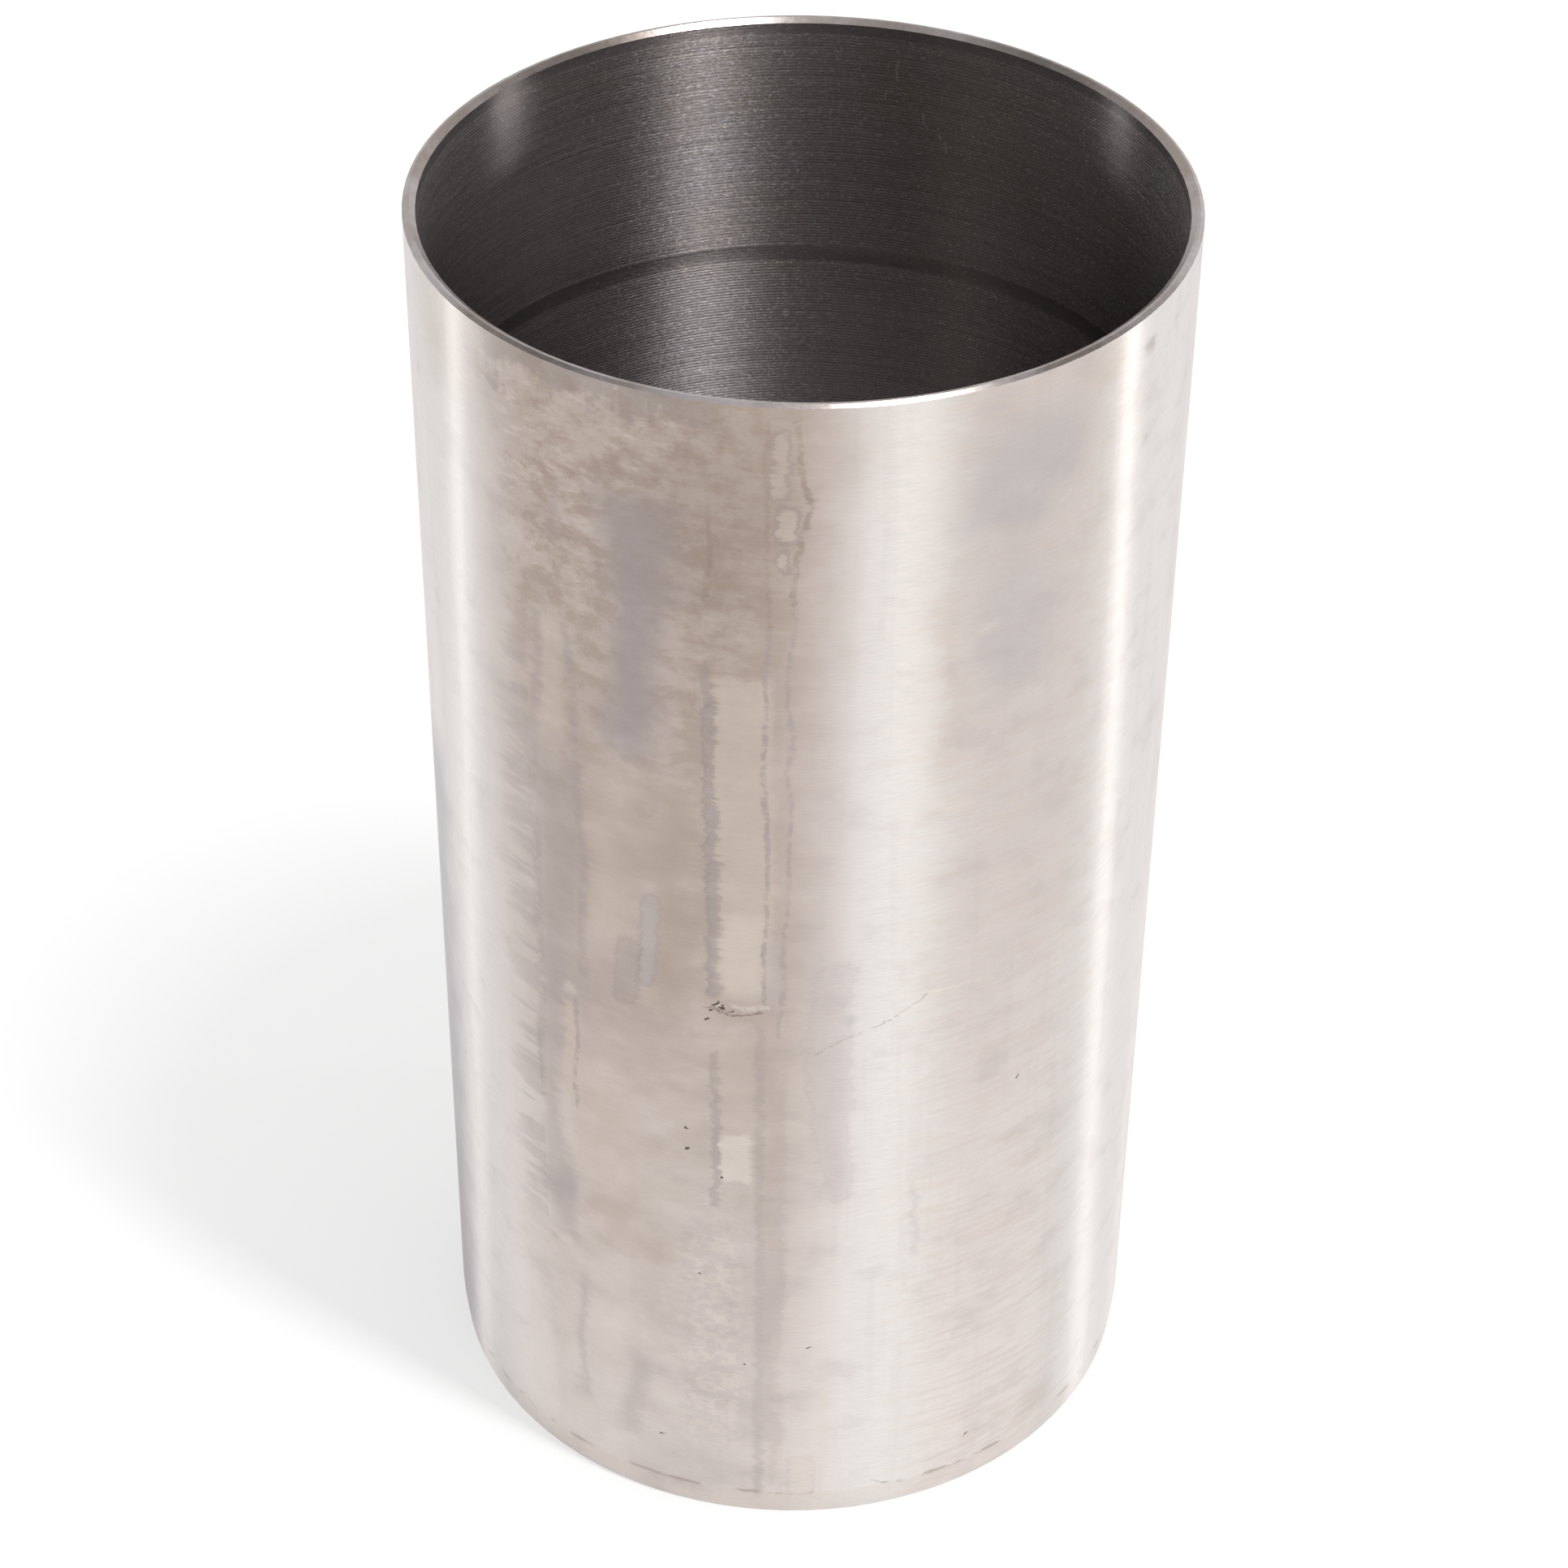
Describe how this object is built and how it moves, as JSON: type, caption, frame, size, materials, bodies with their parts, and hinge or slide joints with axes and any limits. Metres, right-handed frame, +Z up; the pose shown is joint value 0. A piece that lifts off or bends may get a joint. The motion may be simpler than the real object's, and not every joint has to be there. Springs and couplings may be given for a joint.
{
  "type": "cylinder liner",
  "caption": "Thin-wall flangeless dry cylinder liner with a ground outside wall, a turned bore, a bevelled rim and a lead-in taper, pressed into an engine block.",
  "frame": {"origin": "centre of the bottom end face, on the bore axis", "axes": "+Z up the bore axis, from the lead-in taper to the bevelled rim"},
  "size_m": [0.09, 0.09, 0.168],
  "materials": {
    "liner_iron": "ground outside, turned bore, light storage stains"
  },
  "bodies": {
    "root": {"cylinder_liner": "liner_iron"}
  },
  "joints": []
}
